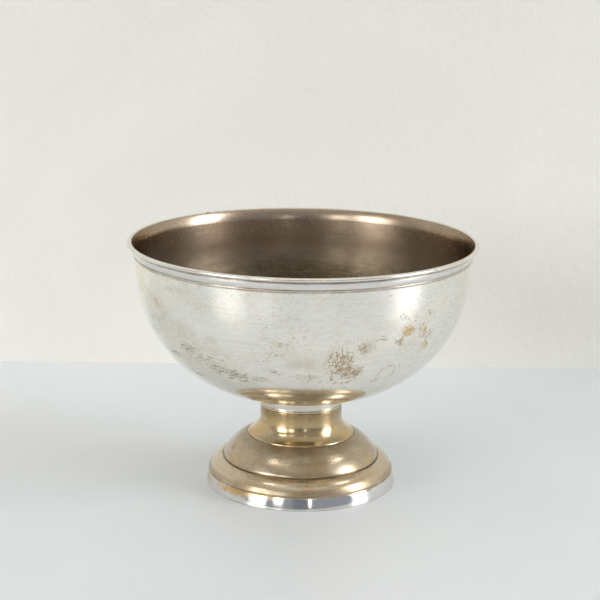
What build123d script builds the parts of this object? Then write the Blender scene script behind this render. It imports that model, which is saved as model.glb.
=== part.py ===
from build123d import *
import os
from math import acos, cos, degrees, radians, sin

# Champagne bucket: a spun bowl with an applied rim, on a spun foot in three tiers.
# Every piece is turned about +Z. The origin is the centre of the base, on the table.
# A section is drawn with x as the radius and y as the height. Lengths are in millimetres
# and angles in degrees.

# Metal sheet that the bowl, neck, dome and lower tier are spun from
SHEET = 1.2

# Bowl, outside surface
BOWL_BOTTOM_Z = 81.6          # underside of the bowl
BOWL_FLAT_RADIUS = 31.6       # flat disc in the middle of the bottom
BOWL_ARC_RADIUS = 110.7       # round from the flat disc up to the wall
WALL_TAPER = 5.0              # the wall leans outward by this much
WALL_TOP_Z = 205.0            # the lip starts to flare here
LIP_FLARE_RADIUS = 20.0
LIP_FLARE_TURN = 28.2         # turn of the flare, which ends inside the rim wire

# Rim wire, oval in section, soldered round the outside of the lip
RIM_RADIUS = 150.0            # largest radius of the bucket
RIM_WIRE_WIDTH = 4.2
RIM_WIRE_HEIGHT = 3.3
RIM_WIRE_Z = 213.5            # centre of the wire

# Rim band, an applied moulding below the wire: a fine bead under a rounded face
BAND_BOTTOM_Z = 203.3
BAND_BEAD = 1.2               # height of the fine bead
BAND_FOOT_RADIUS = 144.2      # root of the bead and foot of the rounded face
BAND_BELLY = (145.9, 207.3)   # fullest point of the rounded face, as radius and height
BAND_SHOULDER = (146.2, 210.6)
BAND_TOP_Z = 211.2
BAND_TOP_RADIUS = 145.6

# Collar ring between the bowl and the neck
COLLAR_BOTTOM_Z = 70.0
COLLAR_INNER_RADIUS = 30.5
COLLAR_ROOT_RADIUS = 35.9     # bottom edge, and the groove above the fine bead
COLLAR_BEAD = 1.6
COLLAR_BELLY = (37.0, 76.2)
COLLAR_TOP_RADIUS = 37.2

# Neck: a closed top plate, a straight tube and a trumpet flare with a turned-down edge
NECK_RADIUS = 35.7
NECK_TOP_ROUND = 1.4
NECK_FLARE_RADIUS = 16.0
NECK_EDGE_RADIUS = 46.3       # outside of the turned-down edge
NECK_EDGE_ROUND = 1.4
NECK_EDGE_SKIRT = 0.3         # straight part of the edge that stands on the dome
NECK_BOLT_HOLE_RADIUS = 4.5

# Dome, the upper tier of the foot
DOME_TOP_Z = 43.4             # shelf that the neck stands on
DOME_SHELF_RADII = (43.0, 46.5)
DOME_SHOULDER = (3.0, 22.8)   # radius and turn of the shoulder below the shelf
DOME_ARC = (39.0, 46.0)       # radius and turn of the dome, cut off at the lower tier

# Lower tier of the foot
TIER_TOP_Z = 22.9             # shelf that the dome stands on
TIER_SHELF_RADII = (65.0, 68.9)
TIER_SHOULDER = (3.0, 13.5)
TIER_ARC = (14.0, 66.0)
TIER_FLANGE_RADII = (78.2, 80.9)
TIER_FLANGE_ROUND = 0.5

# Base strap, a drawn band that the whole bucket stands on
BASE_HEIGHT = 10.8
BASE_RADIUS = 83.0
BASE_TOP_RADIUS = 82.1
BASE_INNER_RADIUS = 79.4
BASE_BOTTOM_ROUND = 0.4
BASE_TOP_ROUND = 1.2

# Fixing inside the neck: boss, stud, washer and nut
BOSS_RADIUS = 20.0
BOSS_HEIGHT = 6.0
BOSS_ROUND = 1.0
STUD_RADIUS = 4.0             # an 8 mm stud
STUD_DEPTH = 5.0              # how far the stud goes into the boss
STUD_BOTTOM_Z = 56.0
STUD_CHAMFER = 0.8
WASHER_RADIUS = 18.0
WASHER_HOLE_RADIUS = 4.3
WASHER_THICKNESS = 2.0
NUT_ACROSS_FLATS = 13.0
NUT_HEIGHT = 6.5

CUT = 400.0                   # side of the squares that trim a section
OVERLAP = 2.0                 # how far a moulding is drawn into the piece it is cut to fit


def arc_from(curve, radius, turn):
    """A round that carries on from the end of a curve; a negative turn bends downward."""
    return JernArc(curve @ 1, curve % 1, radius, turn)


def sheet(path, side=Side.LEFT):
    """The section of a sheet whose outside surface is the path, with its metal on one side of it."""
    return make_face(offset(path, amount=SHEET, side=side))


def above(height):
    """Everything above a height."""
    return Pos(0, height + CUT / 2) * Rectangle(CUT, CUT)


def outermost(section):
    """The piece of a section that lies furthest from the axis."""
    return section.faces().sort_by(Axis.X)[-1]


def lowest(section):
    """The piece of a section that lies lowest."""
    return section.faces().sort_by(Axis.Y)[0]


def outer_corner(section, row):
    """The outermost vertex of a section's lowest (0) or highest (-1) row of vertices."""
    return section.vertices().group_by(Axis.Y)[row].sort_by(Axis.X)[-1]


def turned(section):
    """The solid that a section makes when it is turned about the bucket's axis."""
    return revolve(Plane.XZ * section, axis=Axis.Z)


def bowl_section():
    flat = Line((0, BOWL_BOTTOM_Z), (BOWL_FLAT_RADIUS, BOWL_BOTTOM_Z))
    side = arc_from(flat, BOWL_ARC_RADIUS, 90 - WALL_TAPER)
    wall_height = WALL_TOP_Z - (side @ 1).Y
    wall = PolarLine(side @ 1, wall_height / cos(radians(WALL_TAPER)), 90 - WALL_TAPER)
    lip = arc_from(wall, LIP_FLARE_RADIUS, -LIP_FLARE_TURN)
    return sheet(flat + side + wall + lip)


def rim_wire_section():
    wire = Ellipse(RIM_WIRE_WIDTH / 2, RIM_WIRE_HEIGHT / 2)
    return Pos(RIM_RADIUS - RIM_WIRE_WIDTH / 2, RIM_WIRE_Z) * wire - bowl_section()


def rim_band_section():
    bead_top_z = BAND_BOTTOM_Z + BAND_BEAD
    bead_low = (BAND_FOOT_RADIUS, BAND_BOTTOM_Z)
    bead_high = (BAND_FOOT_RADIUS, bead_top_z)
    bead_tip = (BAND_FOOT_RADIUS + BAND_BEAD / 2, BAND_BOTTOM_Z + BAND_BEAD / 2)
    top = (BAND_TOP_RADIUS, BAND_TOP_Z)
    back_radius = BAND_FOOT_RADIUS - OVERLAP
    outline = ThreePointArc(bead_low, bead_tip, bead_high)
    outline += ThreePointArc(bead_high, BAND_BELLY, BAND_SHOULDER)
    outline += Polyline(BAND_SHOULDER, top, (back_radius, BAND_TOP_Z), (back_radius, BAND_BOTTOM_Z), bead_low)
    return outermost(make_face(outline) - bowl_section())


def collar_section():
    groove_z = COLLAR_BOTTOM_Z + COLLAR_BEAD
    root = (COLLAR_ROOT_RADIUS, COLLAR_BOTTOM_Z)
    groove = (COLLAR_ROOT_RADIUS, groove_z)
    bead_tip = (COLLAR_ROOT_RADIUS + COLLAR_BEAD / 3, COLLAR_BOTTOM_Z + COLLAR_BEAD / 2)
    top_z = BOWL_BOTTOM_Z + OVERLAP
    top = (COLLAR_TOP_RADIUS, top_z)
    outline = ThreePointArc(root, bead_tip, groove)
    outline += ThreePointArc(groove, COLLAR_BELLY, top)
    outline += Polyline(top, (COLLAR_INNER_RADIUS, top_z), (COLLAR_INNER_RADIUS, COLLAR_BOTTOM_Z), root)
    return lowest(make_face(outline) - bowl_section())


def neck_section():
    """Drawn from the turned-down edge up to the bolt hole, so that the metal is on the left."""
    flare_width = NECK_EDGE_RADIUS - NECK_EDGE_ROUND - NECK_RADIUS
    # The edge's round and the flare meet where both have turned equally far from the vertical.
    turn = degrees(acos((NECK_FLARE_RADIUS - flare_width) / (NECK_FLARE_RADIUS + NECK_EDGE_ROUND)))
    skirt = Line((NECK_EDGE_RADIUS, DOME_TOP_Z), (NECK_EDGE_RADIUS, DOME_TOP_Z + NECK_EDGE_SKIRT))
    edge = arc_from(skirt, NECK_EDGE_ROUND, turn)
    flare = arc_from(edge, NECK_FLARE_RADIUS, -turn)
    tube_top_z = COLLAR_BOTTOM_Z - NECK_TOP_ROUND
    tube = Line(flare @ 1, (NECK_RADIUS, tube_top_z))
    corner = arc_from(tube, NECK_TOP_ROUND, 90)
    plate = Line(corner @ 1, (NECK_BOLT_HOLE_RADIUS, COLLAR_BOTTOM_Z))
    return sheet(skirt + edge + flare + tube + corner + plate)


def tier_sheet(shelf_z, shelf_radii, shoulder, arc):
    """The sheet of one tier of the foot: a flat shelf, a small shoulder and a long round."""
    shelf = Line((shelf_radii[0], shelf_z), (shelf_radii[1], shelf_z))
    bend = arc_from(shelf, shoulder[0], -shoulder[1])
    side = arc_from(bend, arc[0], -arc[1])
    return sheet(shelf + bend + side, Side.RIGHT)


def dome_section():
    dome = tier_sheet(DOME_TOP_Z, DOME_SHELF_RADII, DOME_SHOULDER, DOME_ARC)
    return dome & above(TIER_TOP_Z)


def lower_tier_section():
    inner, outer = TIER_FLANGE_RADII
    flange = Pos((inner + outer) / 2, BASE_HEIGHT + SHEET / 2) * Rectangle(outer - inner, SHEET)
    flange = fillet(flange.vertices().group_by(Axis.X)[-1], TIER_FLANGE_ROUND)
    return tier_sheet(TIER_TOP_Z, TIER_SHELF_RADII, TIER_SHOULDER, TIER_ARC) + flange


def base_section():
    bottom_left, bottom_right = (BASE_INNER_RADIUS, 0), (BASE_RADIUS, 0)
    top_right, top_left = (BASE_TOP_RADIUS, BASE_HEIGHT), (BASE_INNER_RADIUS, BASE_HEIGHT)
    strap = make_face(Polyline(bottom_left, bottom_right, top_right, top_left, close=True))
    strap = fillet(outer_corner(strap, 0), BASE_BOTTOM_ROUND)
    return fillet(outer_corner(strap, -1), BASE_TOP_ROUND)


def washer():
    top_z = COLLAR_BOTTOM_Z - SHEET
    ring = Circle(WASHER_RADIUS) - Circle(WASHER_HOLE_RADIUS)
    return Pos(0, 0, top_z - WASHER_THICKNESS) * extrude(ring, WASHER_THICKNESS)


def boss():
    low_z = BOWL_BOTTOM_Z - BOSS_HEIGHT
    disc = Pos(0, 0, low_z) * extrude(Circle(BOSS_RADIUS), BOSS_HEIGHT)
    disc = fillet(disc.edges().group_by(Axis.Z)[0], BOSS_ROUND)
    hole = Pos(0, 0, low_z) * extrude(Circle(STUD_RADIUS), STUD_DEPTH)
    return disc - hole


def stud():
    top_z = BOWL_BOTTOM_Z - BOSS_HEIGHT + STUD_DEPTH
    rod = Pos(0, 0, STUD_BOTTOM_Z) * extrude(Circle(STUD_RADIUS), top_z - STUD_BOTTOM_Z)
    return chamfer(rod.edges().group_by(Axis.Z)[0], STUD_CHAMFER)


def nut():
    top_z = COLLAR_BOTTOM_Z - SHEET - WASHER_THICKNESS
    corner_radius = NUT_ACROSS_FLATS / 2 / cos(radians(30))
    body = extrude(RegularPolygon(corner_radius, 6) - Circle(STUD_RADIUS), NUT_HEIGHT)
    return Pos(0, 0, top_z - NUT_HEIGHT) * body


PARTS = {
    "bowl": turned(bowl_section()),
    "rim_wire": turned(rim_wire_section()),
    "rim_band": turned(rim_band_section()),
    "collar_ring": turned(collar_section()),
    "neck": turned(neck_section()),
    "foot_dome": turned(dome_section()),
    "foot_lower_tier": turned(lower_tier_section()),
    "base_strap": turned(base_section()),
    "fixing_boss": boss(),
    "fixing_stud": stud(),
    "clamp_washer": washer(),
    "clamp_nut": nut(),
}

os.makedirs("parts", exist_ok=True)
for name, part in PARTS.items():
    export_step(part, f"parts/{name}.step")
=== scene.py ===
"""A footed champagne bucket in worn silver plate, dressed over its CAD frame.

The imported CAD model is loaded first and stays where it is. Each sub-assembly below is a class that
draws the sections of its pieces with a pen, spins them about the bucket's axis and dresses them in
a finish. Sizes are in millimetres in the classes and in metres in Blender.
"""
import logging
import math
from collections.abc import Callable
from dataclasses import dataclass
from enum import Enum

import bmesh
import bpy
from mathutils import Matrix, Vector, noise


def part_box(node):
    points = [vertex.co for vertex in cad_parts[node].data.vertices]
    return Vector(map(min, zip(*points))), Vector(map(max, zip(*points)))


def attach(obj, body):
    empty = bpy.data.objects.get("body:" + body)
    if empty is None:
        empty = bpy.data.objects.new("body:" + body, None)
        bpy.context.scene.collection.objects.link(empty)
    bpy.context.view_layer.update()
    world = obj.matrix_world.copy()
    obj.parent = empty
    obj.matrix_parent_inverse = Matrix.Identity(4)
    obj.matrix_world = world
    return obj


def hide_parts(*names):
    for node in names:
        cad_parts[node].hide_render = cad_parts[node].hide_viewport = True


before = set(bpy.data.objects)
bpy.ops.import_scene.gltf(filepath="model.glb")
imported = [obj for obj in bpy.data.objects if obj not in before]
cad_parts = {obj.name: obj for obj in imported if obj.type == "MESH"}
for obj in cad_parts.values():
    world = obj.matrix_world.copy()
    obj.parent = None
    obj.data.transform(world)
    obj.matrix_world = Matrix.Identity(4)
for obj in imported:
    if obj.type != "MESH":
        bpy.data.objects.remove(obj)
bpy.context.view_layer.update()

MM = 0.001
MERGE_DISTANCE = 0.002 * MM
# Turns in degrees, as every angle below is unless its name or note says radians
QUARTER = 90.0
HALF = 180.0
BODY = "root"

log = logging.getLogger("champagne_bucket")

Colour = tuple[float, float, float]


# Outlines and spinning


class Side(Enum):
    """The side of a path that the metal of a sheet lies on, seen along the path."""

    LEFT = 1
    RIGHT = -1


@dataclass(frozen=True)
class Straight:
    """A straight run of an outline.

    Attributes:
        length: Length of the run.
    """

    length: float


@dataclass(frozen=True)
class Bend:
    """A round run of an outline.

    Attributes:
        radius: Radius of the round.
        turn: Angle that it turns through, in degrees, positive to the left.
    """

    radius: float
    turn: float


@dataclass(frozen=True)
class Corner:
    """A sharp turn on the spot.

    Attributes:
        turn: Angle in degrees, positive to the left.
    """

    turn: float


Run = Straight | Bend | Corner


def around_sheet(outside: list[Run], thickness: float, metal: Side, round_end: bool) -> list[Run]:
    """Takes the path of a sheet's outside surface on round its end and back along the inside.

    Args:
        outside: Runs of the outside surface.
        thickness: Thickness of the sheet.
        metal: Side of the path that the metal lies on.
        round_end: Whether the far edge of the sheet is rounded or cut square.

    Returns:
        The runs of the whole outline, all but the last edge, which closes it.
    """
    side = metal.value
    end: list[Run] = [Bend(thickness / 2, HALF * side)]
    if not round_end:
        end = [Corner(QUARTER * side), Straight(thickness), Corner(QUARTER * side)]
    back: list[Run] = []
    for run in reversed(outside):
        if isinstance(run, Bend):
            inward = math.copysign(1.0, run.turn) * side
            back.append(Bend(run.radius - inward * thickness, -run.turn))
        elif isinstance(run, Corner):
            back.append(Corner(-run.turn))
        else:
            back.append(run)
    return outside + end + back


class Outline:
    """A pen that draws the section of a turned piece in the plane of radius and height."""

    LONGEST_CHORD = 3.0
    LARGEST_STEP = 11.0
    HOLD = 0.12

    def __init__(self, radius: float, height: float, heading: float) -> None:
        """Puts the pen down.

        Args:
            radius: Distance of the first point from the axis.
            height: Height of the first point.
            heading: Direction of the pen in degrees, 0 outward and 90 upward.
        """
        self.mesh = bmesh.new()
        made = bmesh.ops.create_vert(self.mesh, co=(radius * MM, 0.0, height * MM))
        self.start = made["vert"][0]
        self.tip = self.start
        self.heading = math.radians(heading)

    def draw(self, runs: list[Run]) -> "Outline":
        """Draws runs one after another.

        Args:
            runs: The runs, in order.

        Returns:
            The outline itself.
        """
        for run in runs:
            if isinstance(run, Straight):
                self._straight(run.length)
            elif isinstance(run, Bend):
                self._bend(run)
            else:
                self.heading += math.radians(run.turn)
        return self

    def _step(self, length: float) -> None:
        """Draws one edge straight ahead.

        Args:
            length: Length of the edge.
        """
        made = bmesh.ops.extrude_vert_indiv(self.mesh, verts=[self.tip])
        self.tip = made["verts"][0]
        ahead = Vector((math.cos(self.heading), 0.0, math.sin(self.heading)))
        bmesh.ops.translate(self.mesh, verts=[self.tip], vec=ahead * length * MM)

    def _straight(self, length: float) -> None:
        """Draws a straight run, with a short edge at each end that holds the shading flat.

        Args:
            length: Length of the run.
        """
        if length <= 3 * self.HOLD:
            self._step(length)
            return
        middle = length - 2 * self.HOLD
        count = max(1, math.ceil(middle / self.LONGEST_CHORD))
        for part in (self.HOLD, *[middle / count] * count, self.HOLD):
            self._step(part)

    def _bend(self, run: Bend) -> None:
        """Draws a round run by spinning the pen's last point about the round's centre.

        Args:
            run: The run.
        """
        turn = math.radians(run.turn)
        across = Vector((-math.sin(self.heading), 0.0, math.cos(self.heading)))
        centre = self.tip.co + across * math.copysign(run.radius * MM, turn)
        chords = abs(turn) * run.radius / self.LONGEST_CHORD
        steps = math.ceil(max(chords, abs(run.turn) / self.LARGEST_STEP, 1.0))
        made = bmesh.ops.spin(self.mesh, geom=[self.tip], cent=centre, axis=(0.0, -1.0, 0.0),
                              angle=turn, steps=steps, use_duplicate=False)
        self.tip = next(v for v in made["geom_last"] if isinstance(v, bmesh.types.BMVert))
        self.heading += turn

    def back_to(self, radius: float) -> "Outline":
        """Draws straight on, inward along a level top, to a radius, and closes the outline.

        Args:
            radius: The radius.

        Returns:
            The outline itself.
        """
        return self.draw([Straight(self.tip.co.x / MM - radius)]).close()

    def close(self) -> "Outline":
        """Joins the last point to the first, and returns the outline itself."""
        bmesh.ops.contextual_create(self.mesh, geom=[self.tip, self.start])
        return self

    def spun(self, steps: int) -> bmesh.types.BMesh:
        """Returns the mesh of the outline, spun a full turn in a number of steps."""
        return spun_round(self.mesh, steps)


def spun_round(mesh: bmesh.types.BMesh, steps: int) -> bmesh.types.BMesh:
    """Spins a section a full turn about the bucket's axis.

    Args:
        mesh: The closed section.
        steps: Number of steps in the turn.

    Returns:
        The same mesh, closed, with its faces pointing outward.
    """
    bmesh.ops.spin(mesh, geom=mesh.verts[:] + mesh.edges[:], cent=(0.0, 0.0, 0.0), axis=(0.0, 0.0, 1.0),
                   angle=math.tau, steps=steps, use_merge=True, use_duplicate=False)
    bmesh.ops.remove_doubles(mesh, verts=mesh.verts[:], dist=MERGE_DISTANCE)
    bmesh.ops.recalc_face_normals(mesh, faces=mesh.faces[:])
    return mesh


@dataclass(frozen=True)
class Unevenness:
    """The slight waves that spinning and years of use leave in a sheet.

    Attributes:
        depth: Largest movement of the surface.
        spacing: Rough distance from wave to wave.
        low: Height below which the sheet stays true.
        high: Height above which the sheet stays true.
        fade: Height over which the waves grow to their full depth.
    """

    depth: float
    spacing: float
    low: float
    high: float
    fade: float = 12.0

    def apply(self, mesh: bmesh.types.BMesh) -> None:
        """Moves the vertices of a mesh toward and away from the axis.

        Args:
            mesh: The mesh of the sheet, both sides of which move together.
        """
        for vert in mesh.verts:
            height = vert.co.z / MM
            inside = min(height - self.low, self.high - height) / self.fade
            share = min(max(inside, 0.0), 1.0)
            outward = Vector((vert.co.x, vert.co.y, 0.0))
            if share == 0.0 or outward.length == 0.0:
                continue
            wave = noise.noise(vert.co / (self.spacing * MM))
            vert.co += outward.normalized() * wave * self.depth * MM * share


def make_object(mesh: bmesh.types.BMesh, name: str, materials: list[bpy.types.Material]) -> bpy.types.Object:
    """Turns a bmesh into a smooth-shaded object at the origin.

    Args:
        mesh: The finished mesh, which is freed.
        name: Name of the object.
        materials: Materials of the object, in the order of the faces' indices.

    Returns:
        The new object, linked to the scene.
    """
    data = bpy.data.meshes.new(name)
    mesh.to_mesh(data)
    mesh.free()
    for material in materials:
        data.materials.append(material)
    data.shade_smooth()
    piece = bpy.data.objects.new(name, data)
    bpy.context.scene.collection.objects.link(piece)
    return piece


def stand_for(node: str, slot: str, name: str, mesh: bmesh.types.BMesh,
              *materials: bpy.types.Material) -> bpy.types.Object:
    """Makes the piece that stands on the bucket's body in place of a CAD node, and reports it.

    Args:
        node: The CAD node that it replaces.
        slot: The record's material slot; not used.
        name: Name of the piece.
        mesh: The finished mesh, which is freed.
        materials: Materials of the piece, in the order of the faces' indices.

    Returns:
        The piece.
    """
    piece = make_object(mesh, name, list(materials))
    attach(piece, BODY)
    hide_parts(node)
    log.info("%s stands for %s: %d faces", piece.name, node, len(piece.data.polygons))
    return piece


# Finishes


Socket = bpy.types.NodeSocket
Value = Socket | float | Colour


@dataclass(frozen=True)
class Grain:
    """A cloudy noise, and the levels between which a pattern made of it rises.

    Attributes:
        scale: Number of waves in a metre.
        detail: Number of finer layers.
        roughness: Strength of the finer layers.
        bend: Distortion.
        squeeze: How much closer the waves lie along each axis.
        span: Levels of the noise where the pattern starts and where it is full.
    """

    scale: float
    detail: float
    roughness: float = 0.55
    bend: float = 0.0
    squeeze: Colour | None = None
    span: tuple[float, float] = (0.0, 1.0)


# Noises of the metals and paints, in waves to the metre
SLOW_WAVES = Grain(42.0, 2.0, 0.4, squeeze=(1.0, 1.0, 1.6))
CLOUDS = Grain(17.0, 6.0, 0.62, 0.5, (1.0, 1.0, 1.7))
BLOTCHES = Grain(150.0, 6.0, 0.75, 0.3, (1.0, 1.0, 2.2), (0.43, 0.68))
SPECKS = Grain(380.0, 5.0, 0.72, 0.8, (1.0, 1.0, 2.0), (0.60, 0.72))
SPECK_DRIFTS = Grain(24.0, 4.0, 0.65, span=(0.58, 0.70))
# Noise that wavers the upper edge of the painted shade inside the bowl
PAINTED_SHADE_EDGE = Grain(26.0, 5.0, 0.6)
SEAM_GAPS = Grain(60.0, 5.0, 0.65, span=(0.25, 0.7))
SPIN_RINGS = Grain(900.0, 2.0, 0.8)
SPIN_STREAKS = Grain(420.0, 5.0, 0.8, squeeze=(0.05, 0.05, 1.0))
SCRATCHES = tuple(
    Grain(1.0, 2.0, 0.5, 0.3, squeeze, (0.66, 0.72))
    for squeeze in ((30.0, 900.0, 120.0), (500.0, 60.0, 700.0), (160.0, 300.0, 1500.0))
)
RING_WANDER = Grain(170.0, 6.0, 0.75)
RING_THICKNESS = Grain(75.0, 2.0, span=(0.40, 0.62))
GRIME = Grain(160.0, 6.0, 0.65, 0.5, span=(0.42, 0.68))
METAL_GRAIN = Grain(1600.0, 3.0, 0.6, squeeze=(1.0, 1.0, 5.0))
PAINT_PATCHES = Grain(3.0, 5.0, 0.6, 0.4, span=(0.35, 0.65))


class Graph:
    """A node tree, with a method for each kind of pattern that the finishes use."""

    COLOUR_LENGTH = 4

    def __init__(self, tree: bpy.types.NodeTree) -> None:
        """Takes up a tree.

        Args:
            tree: The node tree.
        """
        self.nodes = tree.nodes
        self.links = tree.links

    def put(self, socket: Socket, value: Value) -> None:
        """Links a socket to another, or sets its own value.

        Args:
            socket: The input socket.
            value: An output socket, a number or a colour.
        """
        if isinstance(value, Socket):
            self.links.new(value, socket)
        elif isinstance(value, tuple) and len(socket.default_value) == self.COLOUR_LENGTH:
            socket.default_value = (*value, 1.0)
        else:
            socket.default_value = value

    def node(self, kind: str, settings: dict[str, str], inputs: dict[str, Value] | tuple[Value, ...]
             ) -> bpy.types.Node:
        """Adds a node.

        Args:
            kind: Type of the node, without the word ShaderNode.
            settings: The node's own settings.
            inputs: Values of its inputs by name, or of its first inputs in order.

        Returns:
            The node.
        """
        node = self.nodes.new("ShaderNode" + kind)
        for name, setting in settings.items():
            setattr(node, name, setting)
        named = inputs if isinstance(inputs, dict) else dict(enumerate(inputs))
        for key, value in named.items():
            self.put(node.inputs[key], value)
        return node

    def maths(self, operation: str, *numbers: Value) -> Socket:
        """Returns the result of a Math node's operation on one, two or three numbers."""
        return self.node("Math", {"operation": operation}, numbers).outputs[0]

    def times(self, first: Value, second: Value) -> Socket:
        """Returns the product of two numbers."""
        return self.maths("MULTIPLY", first, second)

    def larger(self, first: Value, second: Value) -> Socket:
        """Returns the larger of two numbers."""
        return self.maths("MAXIMUM", first, second)

    def more(self, value: Value, factor: float, start: Value) -> Socket:
        """Returns a value times a factor, plus a start."""
        return self.maths("MULTIPLY_ADD", value, factor, start)

    def between(self, value: Value, low: Value, high: Value, start: float = 0.0, end: float = 1.0) -> Socket:
        """Turns a stretch of a value into a smooth rise or fall.

        Args:
            value: The value.
            low: Value where the rise starts.
            high: Value where it ends.
            start: Result at and below low.
            end: Result at and above high.

        Returns:
            The result.
        """
        smooth = {"interpolation_type": "SMOOTHSTEP"}
        names = ("Value", "From Min", "From Max", "To Min", "To Max")
        inputs = dict(zip(names, (value, low, high, start, end)))
        return self.node("MapRange", smooth, inputs).outputs["Result"]

    def blend(self, share: Value, first: Value, second: Value) -> Socket:
        """Mixes two colours.

        Args:
            share: Share of the second colour.
            first: First colour.
            second: Second colour.

        Returns:
            The mixed colour.
        """
        node = self.node("Mix", {"data_type": "RGBA"}, {"Factor": share})
        for socket, colour in zip((s for s in node.inputs if s.type == "RGBA"), (first, second)):
            self.put(socket, colour)
        return next(s for s in node.outputs if s.type == "RGBA")

    def parts_of(self, vector: Socket) -> tuple[Socket, ...]:
        """Returns the three numbers of a vector."""
        return tuple(self.node("SeparateXYZ", {}, (vector,)).outputs)

    def scaled(self, vector: Socket, scale: Colour) -> Socket:
        """Returns a vector with each of its numbers scaled."""
        return self.node("VectorMath", {"operation": "MULTIPLY"}, (vector, scale)).outputs[0]

    def distance(self, vector: Socket, point: Colour) -> Socket:
        """Returns the distance from a vector to a fixed point."""
        return self.node("VectorMath", {"operation": "DISTANCE"}, (vector, point)).outputs["Value"]

    def bent(self, vector: Socket, scale: float, reach: float) -> Socket:
        """Pushes a place to and fro.

        Args:
            vector: The place.
            scale: Scale of the noise that pushes it.
            reach: Largest push in metres.

        Returns:
            The pushed place.
        """
        push = self.node("TexNoise", {}, {"Vector": vector, "Scale": scale}).outputs["Color"]
        sums = (push, (reach, reach, reach), vector)
        return self.node("VectorMath", {"operation": "MULTIPLY_ADD"}, sums).outputs[0]

    def cloud(self, vector: Socket, grain: Grain) -> Socket:
        """Draws a noise from 0 to 1.

        Args:
            vector: Place that the noise follows.
            grain: Size and character of the noise.

        Returns:
            The noise.
        """
        if grain.squeeze is not None:
            vector = self.scaled(vector, grain.squeeze)
        inputs = {"Vector": vector, "Scale": grain.scale, "Detail": grain.detail,
                  "Roughness": grain.roughness, "Distortion": grain.bend}
        return self.node("TexNoise", {"noise_dimensions": "3D"}, inputs).outputs["Fac"]

    def pattern(self, vector: Socket, grain: Grain, start: float = 0.0, end: float = 1.0) -> Socket:
        """Returns a grain's noise, turned into a rise over its span from a start to an end."""
        return self.between(self.cloud(vector, grain), *grain.span, start, end)

    def cracks(self, vector: Socket, scale: float) -> Socket:
        """Returns the distance to the edges of a crackle of cells, in shares of a cell."""
        inputs = {"Vector": vector, "Scale": scale}
        return self.node("TexVoronoi", {"feature": "DISTANCE_TO_EDGE"}, inputs).outputs["Distance"]

    def bump(self, height: Socket, strength: float, depth: float, below: Socket | None = None) -> Socket:
        """Raises a surface.

        Args:
            height: Height pattern from 0 to 1.
            strength: Strength of the effect.
            depth: Real height of the pattern in millimetres.
            below: Another bump that this one is laid over.

        Returns:
            The bent normal.
        """
        inputs = {"Strength": strength, "Distance": depth * MM, "Height": height}
        if below is not None:
            inputs["Normal"] = below
        return self.node("Bump", {}, inputs).outputs["Normal"]


class MetalGraph(Graph):
    """The node tree of a new material, with its Principled shader."""

    def __init__(self, name: str) -> None:
        """Starts a material.

        Args:
            name: Name of the material.
        """
        self.material = bpy.data.materials.new(name)
        self.material.use_nodes = True
        super().__init__(self.material.node_tree)
        self.shader = self.nodes["Principled BSDF"]
        self.place = self.nodes.new("ShaderNodeTexCoord").outputs["Object"]

    def section(self) -> Socket:
        """Works out the place of a point in the plane of radius and height.

        Returns:
            The distance from the bucket's axis, the height and 0, in metres.
        """
        x, y, height = self.parts_of(self.place)
        squares = self.maths("ADD", self.times(x, x), self.times(y, y))
        return self.node("CombineXYZ", {}, (self.maths("SQRT", squares), height, 0.0)).outputs[0]

    def dress(self, inputs: dict[str, Value]) -> bpy.types.Material:
        """Sets the shader's inputs.

        Args:
            inputs: Values by the name of the input.

        Returns:
            The material.
        """
        for name, value in inputs.items():
            self.put(self.shader.inputs[name], value)
        return self.material


@dataclass(frozen=True)
class Seam:
    """A circle round the bucket where tarnish gathers.

    Attributes:
        radius: Radius of the circle.
        height: Height of the circle.
        spread: Distance at which its darkening has faded out.
        strength: Strength at the circle, from 0 to 1.
    """

    radius: float
    height: float
    spread: float
    strength: float = 1.0


class Tone(Enum):
    """Colours of tarnish."""

    BEIGE = (0.62, 0.55, 0.45)
    BROWN = (0.41, 0.285, 0.145)
    AMBER = (0.60, 0.40, 0.15)
    DARK = (0.20, 0.16, 0.12)


class Mark(Enum):
    """Patterns that a stain can have, each with its noise. A net is made of cells instead."""

    SMUDGE = Grain(120.0, 6.0, 0.7, 0.4, span=(0.25, 0.75))
    BLOT = Grain(300.0, 5.0, 0.75, 0.6, span=(0.42, 0.60))
    HAIRS = Grain(1.0, 1.0, 0.5, squeeze=(800.0, 800.0, 70.0), span=(0.46, 0.58))
    NET = Grain(420.0, 0.0, span=(0.02, 0.2))
    RING = Grain(480.0, 5.0, 0.75, span=(0.36, 0.58))
    STREAKS = Grain(1.0, 4.0, 0.7, 0.25, (190.0, 190.0, 950.0), (0.47, 0.60))


@dataclass(frozen=True)
class Stain:
    """A tarnish stain at one place on a piece.

    Attributes:
        mark: Pattern.
        tone: Colour.
        bearing: Place round the axis in degrees, 0 at the front and 90 at the right.
        height: Height of its middle.
        width: Size across.
        rise: Size from bottom to top.
        strength: Strength, 1 where it is full in its middle.
        tilt: Turn of the stain in degrees, anticlockwise.
    """

    mark: Mark
    tone: Tone
    bearing: float
    height: float
    width: float
    rise: float
    strength: float = 1.0
    tilt: float = 0.0


StainRows = tuple[tuple[float, ...], ...]


def stained(groups: dict[tuple[Mark, Tone], StainRows]) -> tuple[Stain, ...]:
    """Makes the stains of a piece.

    Args:
        groups: For each mark and tone, rows of bearing, height, width, rise, strength and tilt.

    Returns:
        The stains.
    """
    return tuple(Stain(*kind, *row) for kind, rows in groups.items() for row in rows)


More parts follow.
